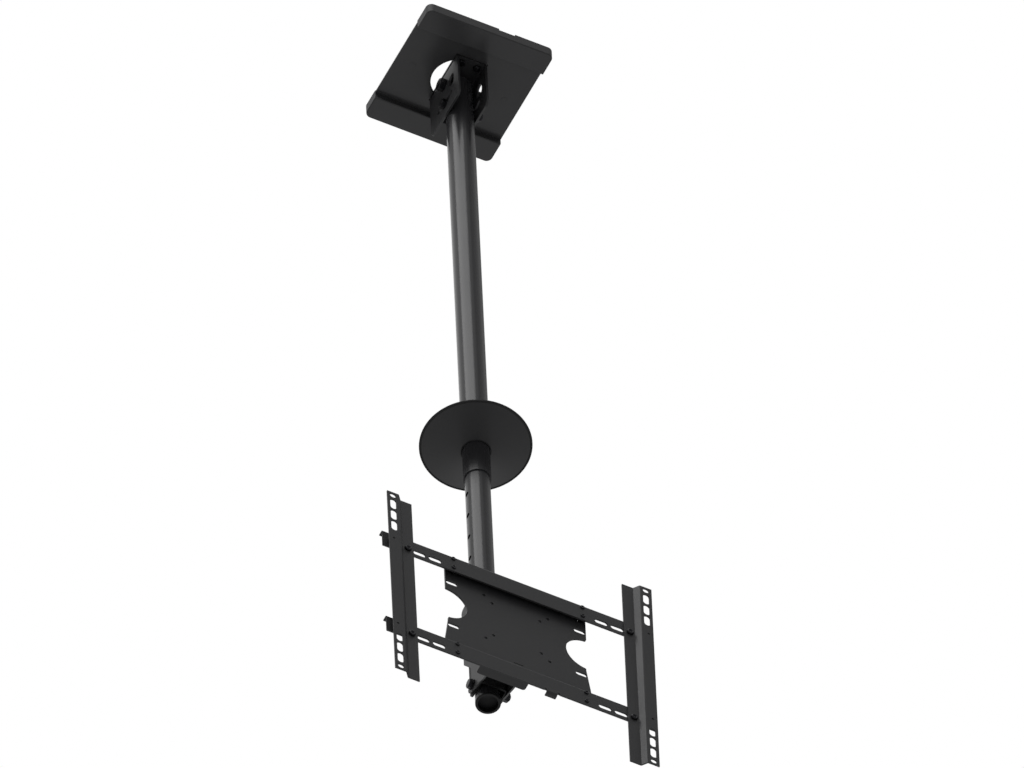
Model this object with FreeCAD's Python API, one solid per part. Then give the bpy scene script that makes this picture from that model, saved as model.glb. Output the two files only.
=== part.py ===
"""Ceiling mount for a flat screen.

A folded bracket under the ceiling carries a telescopic pole. A trim disc
slides on the pole. At its foot a tilting bracket carries a plate with two
rails, and two upright arms are screwed to the rails for the screen.

Sizes are in millimetres. The origin is on the ceiling, on the pole's axis,
with +Z up and the screen side facing -Y.
"""
import FreeCAD, Part
from collections import namedtuple
import math
import os

Vec = FreeCAD.Vector
X = Vec(1, 0, 0)
Y = Vec(0, 1, 0)
Z = Vec(0, 0, 1)

# Clearances
RUNNING_FIT = 0.05      # radial, shaft in a hole that turns or slides on it
LOOSE_FIT = 0.3         # radial, between curved faces that only pass
SIDE_GAP = 0.3          # between cheeks that move past each other
FACE_GAP = 0.1          # between a washer and the moving sheet beside it
THREAD_GAP = 0.05       # radial, screw in its tapped hole

# Threads: shank, spanner size, head and nut heights, washer
Thread = namedtuple("Thread", "shank flats head nut washer_od washer")
M5 = Thread(5.0, 8.0, 3.5, 4.7, 10.0, 1.0)
M6 = Thread(6.0, 10.0, 4.0, 6.0, 12.0, 1.6)
M8 = Thread(8.0, 13.0, 5.3, 8.0, 16.0, 1.6)
M10 = Thread(10.0, 17.0, 6.4, 10.0, 20.0, 2.0)
BOLT_END = 1.5          # thread that stands past its nut
HEX_CHAMFER = 0.3       # turned off the corners of bolt heads and nuts
CROSS_WIDE = 1.0        # slots of a cross recess

# Cutting and choosing
CUT_REACH = 50.0        # half the length of a cutter that goes through everything near
TINY = 0.001            # two places nearer than this are the same

# Pole
UPPER_OD = 40.0
UPPER_WALL = 1.7
UPPER_LENGTH = 922.0
UPPER_TOP_Z = -17.0
POLE_FIT = 0.1
LOWER_OD = UPPER_OD - 2 * UPPER_WALL - 2 * POLE_FIT
LOWER_WALL = 2.0
LOWER_LENGTH = 779.0
POLE_OVERLAP = 256.0    # length of the lower tube inside the upper one
BORE_PITCH = 50.0
BORE_FIRST = 29.0       # from the foot of the tube to its first cross bore
BORE_D = M8.shank + 0.5

# Height lock
COLLAR_UP = 106.0       # above the foot of the upper tube
COLLAR_OD = 54.0
COLLAR_HEIGHT = 20.0

# Trim disc
DISC_OD = 160.0
DISC_THICK = 2.5
DISC_UP = 81.5          # above the foot of the upper tube
DISC_ROUND = 0.9
GROMMET_OD = 52.0
GROMMET_NECK = 46.0
GROMMET_LIP = 2.5

# Ceiling plate, bracket and cover
PLATE_X = 160.0
PLATE_Y = 176.0
PLATE_THICK = 3.0
FIXING_X = 130.0
FIXING_Y = 150.0
FIXING_D = 8.5
WINDOW_R = 39.0
CHEEK_THICK = 3.0
CHEEK_DEPTH = 88.0
CHEEK_DROP = 95.0
CHEEK_GAP = 0.4
CHEEK_CORNER = 8.0
CHEEK_BEND = 2.0
CEILING_PIVOT_Z = -26.0
SLOPE_LOCK_DROP = 44.0
SLOPE_LIMIT = 25.0
SLOT_SPARE = 0.5        # degrees that a curved slot runs past the limit
CABLE_WINDOW_Y = -23.0
CABLE_WINDOW_Z = -40.0
CABLE_WINDOW_R = 7.5
CABLE_WINDOW_LONG = 24.0
BRACKET_SCREW_X = 12.0
BRACKET_SCREW_Y = 34.0
COVER_X = 185.0
COVER_Y = 198.0
COVER_WALL = 2.4
RIDGE_WIDTH = 36.0
RIDGE_DROP = 18.0
COVER_CORNER = 9.0
COVER_EDGE = 1.6
COVER_HOLE_R = 40.0
COVER_SLOT_GAP = 1.2
RIM_NOTCH_X = 25.0
RIM_NOTCH_LONG = 25.0
RIM_NOTCH_DEEP = 3.0
COVER_SCREW_X = 72.0

# Tilting head
HEAD_REACH = 95.1       # pole axis to the front face of the screen plate
EAR_THICK = 2.5
CLAMP_THICK = 2.5
CLAMP_FIT = 0.3
CLAMP_BELOW = 16.0
CLAMP_ABOVE = 20.0
CLAMP_BEHIND = 13.0
TILT_LOCK_BORES = 2     # bores from the tilt pivot up to the tilt lock
TILT_LIMIT = 8.0
EAR_END_R = 13.0
EAR_NECK_Y = 2.0
EAR_BACK_Y = 22.0
EAR_SHOULDER_LOW = 72.0
EAR_SHOULDER_HIGH = 41.0
EAR_TOP = 168.0
EAR_TOP_FRONT = -35.0
EAR_CORNER = 8.0
SHELF_HALF = 38.0
SHELF_CORNER = 4.0
SHELF_BACK_Y = -39.1
SHELF_BELOW_PLATE_MID = 57.0
BRACKET_THICK = 3.0
BRACKET_HALF = 33.0
BRACKET_UP = 97.0

# Screen plate
SCREEN_UP = 30.0        # middle of the hole pattern above the tilt pivot
SCREEN_THICK = 3.0
SCREEN_HALF = 110.0
SCREEN_FLARE = 114.0
SCREEN_FLARE_Z = -85.0
SCREEN_WAIST = 108.0
NOTCH_X = 111.0
NOTCH_R = 33.5
NOTCH_LIP = 5.0
NOTCH_CORNER = 2.0
PLATE_SLOT_LONG = 17.0
PLATE_SLOT_WIDE = 6.0
PLATE_SLOT_X = 100.0
PLATE_SLOT_Z = 50.0
SMALL_VESA = (75.0, 100.0)
SMALL_HOLE_D = 5.0
SLIT_LONG = 15.0
SLIT_WIDE = 2.0
SLIT_Z = -84.0

# Rails
RAILS_BELOW = 24.1      # middle of the rails below the middle of the hole pattern
RAIL_SPACING = 200.0
RAIL_LENGTH = 422.0
RAIL_HEIGHT = 34.5
RAIL_THICK = 2.5
RAIL_STANDOFF = 10.0    # plate front to rail front
RAIL_SLOT_UP = 10.0     # rail's lower edge to its slot line
RAIL_SLOT_LONG = 19.0
RAIL_SLOT_WIDE = 6.0
RAIL_SLOT_IN = 31.0     # rail's end to the middle of its last slot
RAIL_SLOT_PITCH = 25.0
RAIL_BEND = 1.5
RAIL_BOLT_X = 100.0
RAIL_SCREW_UP = 16.0
SPACER_WALL = 1.8
CAP_THICK = 3.0
CAP_OVER = 1.0
CAP_ROUND = 1.8

# Arms
ARM_HEIGHT = 415.0
ARM_THICK = 2.0
ARM_FACE_WIDE = 18.5
ARM_STEP_WIDE = 6.5
ARM_FLANGE_WIDE = 17.2
ARM_FORWARD = 8.2
ARM_BEND = 1.0
ARM_HOLE_IN = 9.0       # arm's outer edge to the line of holes
ARM_HOLE_WIDE = 8.0
ARM_PIN_IN = 7.5
ARM_PIN_D = 4.0
ARM_SCREW_IN = 9.2      # flange's edge to the rail screws
ARM_SCREW_BACK = 6.0    # middle of the last slot to the rail screws, so that the arm can slide out
ArmHole = namedtuple("ArmHole", "up tall")
ARM_HOLES = (
    ArmHole(200.0, 6.0),
    ArmHole(180.0, 18.5),
    ArmHole(155.0, 18.5),
    ArmHole(130.0, 18.5),
    ArmHole(-132.5, 13.7),
    ArmHole(-155.0, 18.5),
    ArmHole(-180.0, 18.5),
    ArmHole(-200.0, 6.0),
)

# Foot plug
PLUG_FLANGE = 3.0
PLUG_STEM = 16.0
PLUG_RECESS_R = 14.5
PLUG_RECESS = 9.0
PLUG_ROUND = 1.2

# Cable tongue bent from the lower rail's edge, between two relief notches
TONGUE_X = 48.5
TONGUE_LONG = 17.0
TONGUE_DROP = 7.0
TONGUE_BACK = 8.0
RELIEF_WIDE = 4.0
RELIEF_DEEP = 3.0

# Places worked out from the sizes above
UPPER_FOOT_Z = UPPER_TOP_Z - UPPER_LENGTH
LOWER_END_Z = UPPER_FOOT_Z + POLE_OVERLAP - LOWER_LENGTH
COLLAR_Z = UPPER_FOOT_Z + COLLAR_UP
DISC_Z = UPPER_FOOT_Z + DISC_UP
BORE_COUNT = int((LOWER_LENGTH - 2 * BORE_FIRST) / BORE_PITCH) + 1
PIVOT_Z = LOWER_END_Z + BORE_FIRST
LOCK_Z = PIVOT_Z + TILT_LOCK_BORES * BORE_PITCH
LOWER_R = LOWER_OD / 2
UPPER_R = UPPER_OD / 2
CHEEK_IN = UPPER_R + CHEEK_GAP
CHEEK_OUT = CHEEK_IN + CHEEK_THICK
SLOPE_LOCK_Z = CEILING_PIVOT_Z - SLOPE_LOCK_DROP
CLAMP_IN = LOWER_R + CLAMP_FIT
CLAMP_OUT = CLAMP_IN + CLAMP_THICK
EAR_IN = CLAMP_OUT + SIDE_GAP
EAR_OUT = EAR_IN + EAR_THICK
SCREEN_MID_Z = PIVOT_Z + SCREEN_UP
ARM_MID_Z = SCREEN_MID_Z - RAILS_BELOW
SCREEN_FRONT_Y = -HEAD_REACH
SCREEN_BACK_Y = SCREEN_FRONT_Y + SCREEN_THICK
BRACKET_Y = SCREEN_BACK_Y + BRACKET_THICK
RAIL_FRONT_Y = SCREEN_FRONT_Y - RAIL_STANDOFF
RAIL_BACK_Y = RAIL_FRONT_Y + RAIL_THICK
TOP_SLOT_Z = ARM_MID_Z + RAIL_SPACING / 2
BOTTOM_SLOT_Z = ARM_MID_Z - RAIL_SPACING / 2
SCREEN_TOP_Z = TOP_SLOT_Z - RAIL_SLOT_UP + RAIL_HEIGHT
SCREEN_BOTTOM_Z = BOTTOM_SLOT_Z - RAIL_SLOT_UP
SHELF_Z = SCREEN_MID_Z - SHELF_BELOW_PLATE_MID
RAIL_SLOT_LAST = RAIL_LENGTH / 2 - RAIL_SLOT_IN
RAIL_SLOTS = int((RAIL_SLOT_LAST - RAIL_BOLT_X) / RAIL_SLOT_PITCH)
ARM_SCREW_X = RAIL_SLOT_LAST - ARM_SCREW_BACK
ARM_INNER = ARM_SCREW_X - ARM_SCREW_IN
ARM_INNER_FOLD = ARM_INNER + ARM_FLANGE_WIDE
ARM_OUTER_FOLD = ARM_INNER_FOLD + ARM_STEP_WIDE
ARM_OUTER = ARM_OUTER_FOLD + ARM_FACE_WIDE
ARM_HOLE_X = ARM_OUTER - ARM_HOLE_IN
ARM_PIN_X = ARM_OUTER - ARM_PIN_IN


# Plain shapes

def block(x, y, z):
    """Box between a low and a high value on each axis."""
    size = [high - low for low, high in (x, y, z)]
    return Part.makeBox(*size, Vec(x[0], y[0], z[0]))


def rod(radius, start, end):
    """Round bar between two points."""
    return Part.makeCylinder(radius, (end - start).Length, start, end - start)


def tube(outer, inner, start, end):
    return rod(outer, start, end).cut(rod(inner, start, end))


def aimed(shape, point, direction):
    """Shape made along +Z at the origin, moved to a point and turned to a direction."""
    shape.Placement = FreeCAD.Placement(point, FreeCAD.Rotation(Z, direction))
    return shape


def prism(points, path):
    """Flat outline pushed along a path."""
    outline = Part.makePolygon(list(points) + [points[0]])
    return Part.Face(outline).extrude(path)


def obround(length, width, centre, along, through):
    """Cutter for a slot: a bar with round ends, longer than what it cuts."""
    half = along * ((length - width) / 2)
    side = through.cross(along) * (width / 2)
    low = centre - through * CUT_REACH
    depth = through * (2 * CUT_REACH)
    cutter = prism([low - half - side, low + half - side, low + half + side, low - half + side], depth)
    for end in (-half, half):
        cutter = cutter.fuse(rod(width / 2, low + end, low + end + depth))
    return cutter


def cross_cut(shape, radius, z):
    """Hole along X through everything on the pole's axis at one height."""
    return shape.cut(rod(radius, Vec(-CUT_REACH, 0, z), Vec(CUT_REACH, 0, z)))


def arc_slot(centre, radius, middle, half_angle, width):
    """Cutter for a slot curved round a pivot, in sheets square to X on both sides of it."""
    base = centre - X * CUT_REACH
    depth = X * (2 * CUT_REACH)
    spokes = []
    for turn in (-half_angle, half_angle):
        angle = math.radians(middle + turn)
        spokes.append(Vec(0, math.cos(angle), math.sin(angle)))
    ring = tube(radius + width / 2, radius - width / 2, base, base + depth)
    far = 2 * (radius + width)
    cutter = ring.common(prism([base, base + spokes[0] * far, base + spokes[1] * far], depth))
    for spoke in spokes:
        end = base + spoke * radius
        cutter = cutter.fuse(rod(width / 2, end, end + depth))
    return cutter


def edges_along(shape, direction, test):
    """Straight edges parallel to a direction whose middle passes a test."""
    found = []
    for edge in shape.Edges:
        if not isinstance(edge.Curve, Part.Line):
            continue
        run = edge.Vertexes[-1].Point - edge.Vertexes[0].Point
        if run.Length < TINY or run.cross(direction).Length > TINY * run.Length:
            continue
        if test((edge.Vertexes[-1].Point + edge.Vertexes[0].Point) * 0.5):
            found.append(edge)
    return found


def rounded(shape, radius, direction, test):
    return shape.makeFillet(radius, edges_along(shape, direction, test))


def folded(points, path, thickness, bend):
    """Sheet bent along an open outline, on the outline's left, and pushed along a path.

    Each corner gets an inner radius of the bend and an outer one of bend plus sheet.
    """
    axis = Vec(path).normalize()
    other = []
    turns = []
    last = len(points) - 1
    for i, point in enumerate(points):
        before = (points[max(i, 1)] - points[max(i, 1) - 1]).normalize()
        after = (points[min(i, last - 1) + 1] - points[min(i, last - 1)]).normalize()
        normal = axis.cross(before)
        mitre = normal + axis.cross(after)
        other.append(point + mitre * (thickness / mitre.dot(normal)))
        turns.append(axis.dot(before.cross(after)))
    sheet = prism(points + other[::-1], path)
    for i in range(1, last):
        left_turn = turns[i] > 0
        for corner, inner in ((points[i], not left_turn), (other[i], left_turn)):
            radius = bend if inner else bend + thickness
            sheet = rounded(sheet, radius, axis,
                            lambda p, c=corner: (p - c).cross(axis).Length < TINY)
    return sheet


# Fasteners

def hexagon(flats, height):
    """Six-sided prism on +Z with its top corners turned off."""
    radius = flats / math.sqrt(3)
    turns = [math.radians(60 * i) for i in range(6)]
    corners = [Vec(radius * math.cos(turn), radius * math.sin(turn), 0) for turn in turns]
    top = flats / 2 - HEX_CHAMFER
    cone = Part.makeCone(top + height, top, height)
    return prism(corners, Z * height).common(cone)


def bolt(size, seat, direction, length):
    """Hexagon bolt whose head sits at a seat, with its shank along a direction."""
    head = aimed(hexagon(size.flats, size.head), seat, direction * -1)
    return head.fuse(rod(size.shank / 2, seat, seat + direction * length)).removeSplitter()


def nut(size, seat, direction):
    body = hexagon(size.flats, size.nut)
    body = body.cut(Part.makeCylinder(size.shank / 2 + THREAD_GAP, size.nut))
    return aimed(body, seat, direction)


def washer(size, seat, direction):
    hole = size.shank / 2 + THREAD_GAP
    return tube(size.washer_od / 2, hole, seat, seat + direction * size.washer)


def cross_bolt(size, z, half_grip):
    """Bolt along X through the pole, with a washer at each side and a nut."""
    head_seat = Vec(-half_grip - size.washer, 0, z)
    nut_seat = Vec(half_grip + size.washer, 0, z)
    length = 2 * (half_grip + size.washer) + size.nut + BOLT_END
    washers = [washer(size, Vec(-half_grip, 0, z), X * -1), washer(size, Vec(half_grip, 0, z), X)]
    return bolt(size, head_seat, X, length), washers, nut(size, nut_seat, X)


# Ceiling end

def ceiling_plate():
    plate = block((-PLATE_X / 2, PLATE_X / 2), (-PLATE_Y / 2, PLATE_Y / 2), (-PLATE_THICK, 0))
    plate = rounded(plate, CHEEK_CORNER, Z, lambda p: True)
    window = rod(WINDOW_R, Vec(0, 0, -PLATE_THICK), Vec(0, 0, 0))
    strip = block((-CHEEK_OUT, CHEEK_OUT), (-PLATE_Y / 2, PLATE_Y / 2), (-PLATE_THICK, 0))
    plate = plate.cut(window.cut(strip))
    for x in (-FIXING_X / 2, FIXING_X / 2):
        for y in (-FIXING_Y / 2, FIXING_Y / 2):
            plate = plate.cut(rod(FIXING_D / 2, Vec(x, y, -PLATE_THICK), Vec(x, y, 0)))
    for x, y in bracket_screw_places():
        plate = plate.cut(rod(M6.shank / 2 + THREAD_GAP, Vec(x, y, -PLATE_THICK), Vec(x, y, 0)))
    for x in (-COVER_SCREW_X, COVER_SCREW_X):
        plate = plate.cut(rod(M5.shank / 2 + THREAD_GAP, Vec(x, 0, -PLATE_THICK), Vec(x, 0, 0)))
    return plate


def bracket_screw_places():
    sides = (-1, 1)
    return [(i * BRACKET_SCREW_X, j * BRACKET_SCREW_Y) for i in sides for j in sides]


def ceiling_bracket():
    """U folded from sheet: its back lies under the plate, its cheeks hang beside the pole."""
    half = CHEEK_DEPTH / 2
    top = -PLATE_THICK
    foot = -CHEEK_DROP
    outline = [Vec(-CHEEK_OUT, -half, foot), Vec(-CHEEK_OUT, -half, top),
               Vec(CHEEK_OUT, -half, top), Vec(CHEEK_OUT, -half, foot)]
    bracket = folded(outline, Y * CHEEK_DEPTH, CHEEK_THICK, CHEEK_BEND)
    bracket = rounded(bracket, CHEEK_CORNER, X, lambda p: p.z < foot + TINY)
    pivot = Vec(0, 0, CEILING_PIVOT_Z)
    bracket = cross_cut(bracket, M10.shank / 2 + RUNNING_FIT, CEILING_PIVOT_Z)
    slot_wide = M8.shank + 2 * LOOSE_FIT
    bracket = bracket.cut(arc_slot(pivot, SLOPE_LOCK_DROP, -90, SLOPE_LIMIT + SLOT_SPARE, slot_wide))
    window = Vec(0, CABLE_WINDOW_Y, CABLE_WINDOW_Z)
    bracket = bracket.cut(obround(CABLE_WINDOW_LONG, 2 * CABLE_WINDOW_R, window, Z, X))
    for x, y in bracket_screw_places():
        hole = M6.shank / 2 + THREAD_GAP
        bracket = bracket.cut(rod(hole, Vec(x, y, top - CHEEK_THICK), Vec(x, y, top)))
    return bracket


def bracket_screws():
    seat = -PLATE_THICK - CHEEK_THICK
    return [bolt(M6, Vec(x, y, seat), Z, -seat - FACE_GAP) for x, y in bracket_screw_places()]


def ceiling_cover():
    """Thin moulded cover: a panel with a hollow ridge along its front and back."""
    half_x = COVER_X / 2
    half_y = COVER_Y / 2
    inner_y = half_y - RIDGE_WIDTH
    panel_top = -PLATE_THICK
    outer = block((-half_x, half_x), (-half_y, half_y), (panel_top - COVER_WALL, 0))
    for side in (-1, 1):
        low, high = sorted((side * inner_y, side * half_y))
        ridge = block((-half_x, half_x), (low, high), (-RIDGE_DROP, 0))
        outer = outer.fuse(ridge)
    outer = outer.removeSplitter()
    outer = rounded(outer, COVER_CORNER, Z, lambda p: abs(p.y) > half_y - TINY)
    low_edges = [edge for edge in outer.Edges if edge.BoundBox.ZMax < TINY - RIDGE_DROP]
    outer = outer.makeFillet(COVER_EDGE, low_edges)
    well = block((-half_x, half_x), (-inner_y, inner_y), (panel_top, 0))
    cover = outer.cut(well)
    for side in (-1, 1):
        low, high = sorted((side * (inner_y + COVER_WALL), side * (half_y - COVER_WALL)))
        room_x = half_x - COVER_WALL
        room = block((-room_x, room_x), (low, high), (COVER_WALL - RIDGE_DROP, 0))
        room = rounded(room, COVER_CORNER - COVER_WALL, Z, lambda p: abs(p.y) > half_y - COVER_WALL - TINY)
        cover = cover.cut(room)
        low, high = sorted((side * inner_y, side * (PLATE_Y / 2 + LOOSE_FIT)))
        seat_x = PLATE_X / 2 + LOOSE_FIT
        cover = cover.cut(block((-seat_x, seat_x), (low, high), (panel_top, 0)))
    cover = cover.cut(rod(COVER_HOLE_R, Vec(0, 0, -RIDGE_DROP), Vec(0, 0, 0)))
    slot_x = CHEEK_OUT + COVER_SLOT_GAP
    slot_y = CHEEK_DEPTH / 2 + COVER_SLOT_GAP
    cover = cover.cut(block((-slot_x, slot_x), (-slot_y, slot_y), (-RIDGE_DROP, 0)))
    notch_low = RIM_NOTCH_X - RIM_NOTCH_LONG / 2
    cover = cover.cut(block((notch_low, notch_low + RIM_NOTCH_LONG),
                            (-half_y, COVER_WALL - half_y), (-RIM_NOTCH_DEEP, 0)))
    for x in (-COVER_SCREW_X, COVER_SCREW_X):
        cover = cover.cut(rod(M5.shank / 2 + THREAD_GAP, Vec(x, 0, -RIDGE_DROP), Vec(x, 0, 0)))
    return cover


def cover_screws():
    seat = -PLATE_THICK - COVER_WALL
    return [pan_screw(M5, Vec(x, 0, seat), Z, -seat - FACE_GAP) for x in (-COVER_SCREW_X, COVER_SCREW_X)]


def pan_screw(size, seat, direction, length):
    """Screw with a low round head and a cross of two slots."""
    height = size.head * 3 / 4
    half = height / 2
    head = Part.makeCylinder(size.flats / 2, height)
    head = head.makeFillet(half, [e for e in head.Edges if e.BoundBox.ZMin > height - TINY])
    long = size.shank / 2
    wide = CROSS_WIDE / 2
    for x, y in ((long, wide), (wide, long)):
        head = head.cut(block((-x, x), (-y, y), (half, height)))
    head = aimed(head, seat, direction * -1)
    return head.fuse(rod(size.shank / 2, seat, seat + direction * length)).removeSplitter()


# Pole

def upper_tube():
    top = Vec(0, 0, UPPER_TOP_Z)
    foot = Vec(0, 0, UPPER_FOOT_Z)
    pole = tube(UPPER_R, UPPER_R - UPPER_WALL, foot, top)
    pole = cross_cut(pole, M10.shank / 2 + THREAD_GAP, CEILING_PIVOT_Z)
    pole = cross_cut(pole, M8.shank / 2 + THREAD_GAP, SLOPE_LOCK_Z)
    return cross_cut(pole, M8.shank / 2 + THREAD_GAP, COLLAR_Z)


def lower_tube():
    foot = Vec(0, 0, LOWER_END_Z)
    pole = tube(LOWER_R, LOWER_R - LOWER_WALL, foot, foot + Z * LOWER_LENGTH)
    for i in range(BORE_COUNT):
        pole = cross_cut(pole, BORE_D / 2, PIVOT_Z + i * BORE_PITCH)
    return pole


def height_collar():
    """Ring welded round the upper tube, tapped for the two height screws."""
    half = Z * (COLLAR_HEIGHT / 2)
    middle = Vec(0, 0, COLLAR_Z)
    ring = tube(COLLAR_OD / 2, UPPER_R, middle - half, middle + half)
    return cross_cut(ring, M8.shank / 2 + THREAD_GAP, COLLAR_Z)


def height_screws():
    seat = COLLAR_OD / 2 + FACE_GAP
    length = seat - LOWER_R - LOOSE_FIT
    return [bolt(M8, Vec(side * seat, 0, COLLAR_Z), X * -side, length) for side in (-1, 1)]


def tube_end_plug():
    """Moulded plug: a rounded flange under the tube, a hollow stem inside it."""
    foot = LOWER_END_Z - PLUG_FLANGE
    flange = rod(LOWER_R, Vec(0, 0, foot), Vec(0, 0, LOWER_END_Z))
    flange = flange.makeFillet(PLUG_ROUND, [e for e in flange.Edges if e.BoundBox.ZMax < foot + TINY])
    seat = Vec(0, 0, LOWER_END_Z)
    stem = rod(LOWER_R - LOWER_WALL - RUNNING_FIT, seat, seat + Z * PLUG_STEM)
    recess = rod(PLUG_RECESS_R, Vec(0, 0, foot), Vec(0, 0, foot + PLUG_RECESS))
    return flange.fuse(stem).cut(recess).removeSplitter()


# Trim disc

def trim_disc():
    half = Z * (DISC_THICK / 2)
    middle = Vec(0, 0, DISC_Z)
    disc = tube(DISC_OD / 2, GROMMET_NECK / 2, middle - half, middle + half)
    rim = [edge for edge in disc.Edges if isinstance(edge.Curve, Part.Circle)
           and abs(edge.Curve.Radius - DISC_OD / 2) < TINY]
    return disc.makeFillet(DISC_ROUND, rim)


def trim_grommet():
    """Rubber ring with a groove: it holds the disc and grips the pole."""
    half = DISC_THICK / 2 + GROMMET_LIP
    middle = Vec(0, 0, DISC_Z)
    ring = tube(GROMMET_OD / 2, UPPER_R + RUNNING_FIT, middle - Z * half, middle + Z * half)
    groove = Z * (DISC_THICK / 2)
    return ring.cut(tube(GROMMET_OD, GROMMET_NECK / 2, middle - groove, middle + groove))


# Tilting head

def pole_clamp():
    """U-shaped saddle round the front of the pole, held by the two cross bolts."""
    low = PIVOT_Z - CLAMP_BELOW
    high = LOCK_Z + CLAMP_ABOVE
    outline = [Vec(-CLAMP_OUT, CLAMP_BEHIND, low), Vec(-CLAMP_OUT, -CLAMP_OUT, low),
               Vec(CLAMP_OUT, -CLAMP_OUT, low), Vec(CLAMP_OUT, CLAMP_BEHIND, low)]
    saddle = folded(outline, Z * (high - low), CLAMP_THICK, CHEEK_BEND)
    saddle = rounded(saddle, CHEEK_CORNER, X, lambda p: p.y > CLAMP_BEHIND - TINY)
    for z in (PIVOT_Z, LOCK_Z):
        saddle = cross_cut(saddle, M8.shank / 2 + THREAD_GAP, z)
    return saddle


def ear_outline():
    """Side view of one ear: pivot eye at the pole's foot, tall shoulder with the lock slot above it."""
    mid = SCREEN_MID_Z
    return [Vec(0, SCREEN_BACK_Y, SHELF_Z), Vec(0, SHELF_BACK_Y, SHELF_Z),
            Vec(0, 0, PIVOT_Z - EAR_END_R), Vec(0, EAR_NECK_Y, PIVOT_Z),
            Vec(0, EAR_NECK_Y, PIVOT_Z + EAR_SHOULDER_HIGH), Vec(0, EAR_BACK_Y, PIVOT_Z + EAR_SHOULDER_LOW),
            Vec(0, EAR_BACK_Y, mid + EAR_TOP), Vec(0, EAR_TOP_FRONT, mid + EAR_TOP),
            Vec(0, SCREEN_BACK_Y, mid + BRACKET_UP)]


def tilt_bracket():
    """Welded bracket on the plate's back: base, shelf below and two ears astride the pole."""
    base = block((-BRACKET_HALF, BRACKET_HALF), (SCREEN_BACK_Y, BRACKET_Y),
                 (SHELF_Z, SCREEN_MID_Z + BRACKET_UP))
    shelf = block((-SHELF_HALF, SHELF_HALF), (SCREEN_BACK_Y, SHELF_BACK_Y),
                  (SHELF_Z, SHELF_Z + BRACKET_THICK))
    shelf = rounded(shelf, SHELF_CORNER, Z, lambda p: p.y > SHELF_BACK_Y - TINY)
    bracket = base.fuse(shelf)
    pivot = Vec(0, 0, PIVOT_Z)
    for inner in (-EAR_OUT, EAR_IN):
        ear = prism([p + X * inner for p in ear_outline()], X * EAR_THICK)
        ear = rounded(ear, EAR_CORNER, X, lambda p: p.z > SCREEN_MID_Z + EAR_TOP - TINY)
        ear = ear.fuse(rod(EAR_END_R, pivot + X * inner, pivot + X * (inner + EAR_THICK)))
        bracket = bracket.fuse(ear)
    bracket = bracket.removeSplitter()
    bracket = cross_cut(bracket, M8.shank / 2 + RUNNING_FIT, PIVOT_Z)
    slot_wide = M8.shank + 2 * LOOSE_FIT
    return bracket.cut(arc_slot(pivot, LOCK_Z - PIVOT_Z, 90, TILT_LIMIT + SLOT_SPARE, slot_wide))


# Screen plate and rails

def centre_plate():
    """Flat plate with a half-round notch in each side and the hole patterns."""
    mid = SCREEN_MID_Z
    right = [(SCREEN_HALF, SCREEN_TOP_Z), (SCREEN_HALF, mid), (SCREEN_WAIST, mid),
             (SCREEN_WAIST, mid - NOTCH_R - NOTCH_LIP), (SCREEN_FLARE, mid + SCREEN_FLARE_Z),
             (SCREEN_FLARE, SCREEN_BOTTOM_Z)]
    outline = [Vec(x, SCREEN_FRONT_Y, z) for x, z in right]
    outline += [Vec(-x, SCREEN_FRONT_Y, z) for x, z in right[::-1]]
    plate = prism(outline, Y * SCREEN_THICK)
    for x in (-NOTCH_X, NOTCH_X):
        plate = drilled(plate, NOTCH_R, x, mid)
    plate = rounded(plate, NOTCH_CORNER, Y, lambda p: abs(p.z - mid) < NOTCH_R + TINY)
    for x in (-PLATE_SLOT_X, PLATE_SLOT_X):
        for z in (mid - PLATE_SLOT_Z, mid + PLATE_SLOT_Z):
            plate = plate.cut(obround(PLATE_SLOT_LONG, PLATE_SLOT_WIDE, Vec(x, SCREEN_FRONT_Y, z), X, Y))
    for pitch in SMALL_VESA:
        for x in (-pitch / 2, pitch / 2):
            for z in (mid - pitch / 2, mid + pitch / 2):
                plate = drilled(plate, SMALL_HOLE_D / 2, x, z)
    plate = plate.cut(obround(SLIT_LONG, SLIT_WIDE, Vec(0, SCREEN_FRONT_Y, mid + SLIT_Z), X, Y))
    for x, z, size in rail_fixings(TOP_SLOT_Z) + rail_fixings(BOTTOM_SLOT_Z):
        plate = drilled(plate, size.shank / 2 + THREAD_GAP, x, z)
    return plate


def drilled(sheet, radius, x, z):
    """Hole along Y through a sheet of the screen side."""
    start = SCREEN_FRONT_Y - CUT_REACH
    return sheet.cut(rod(radius, Vec(x, start, z), Vec(x, start + 2 * CUT_REACH, z)))


def rail_fixings(slot_z):
    """Places of a rail's bolts, on the slot line and above it."""
    places = []
    for x in (-RAIL_BOLT_X, RAIL_BOLT_X):
        places.append((x, slot_z, M6))
        places.append((x, slot_z + RAIL_SCREW_UP, M5))
    return places


def rail(slot_z):
    """Angle folded from sheet: a slotted face with a flange back to the plate along its top."""
    low = slot_z - RAIL_SLOT_UP
    high = low + RAIL_HEIGHT
    start = -RAIL_LENGTH / 2
    outline = [Vec(start, SCREEN_FRONT_Y, high), Vec(start, RAIL_FRONT_Y, high),
               Vec(start, RAIL_FRONT_Y, low)]
    strip = folded(outline, X * RAIL_LENGTH, RAIL_THICK, RAIL_BEND)
    for side in (-1, 1):
        for i in range(RAIL_SLOTS):
            x = side * (RAIL_SLOT_LAST - i * RAIL_SLOT_PITCH)
            place = Vec(x, RAIL_FRONT_Y, slot_z)
            strip = strip.cut(obround(RAIL_SLOT_LONG, RAIL_SLOT_WIDE, place, X, Y))
    for x, z, size in rail_fixings(slot_z):
        strip = drilled(strip, size.shank / 2 + THREAD_GAP, x, z)
    return strip


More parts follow.
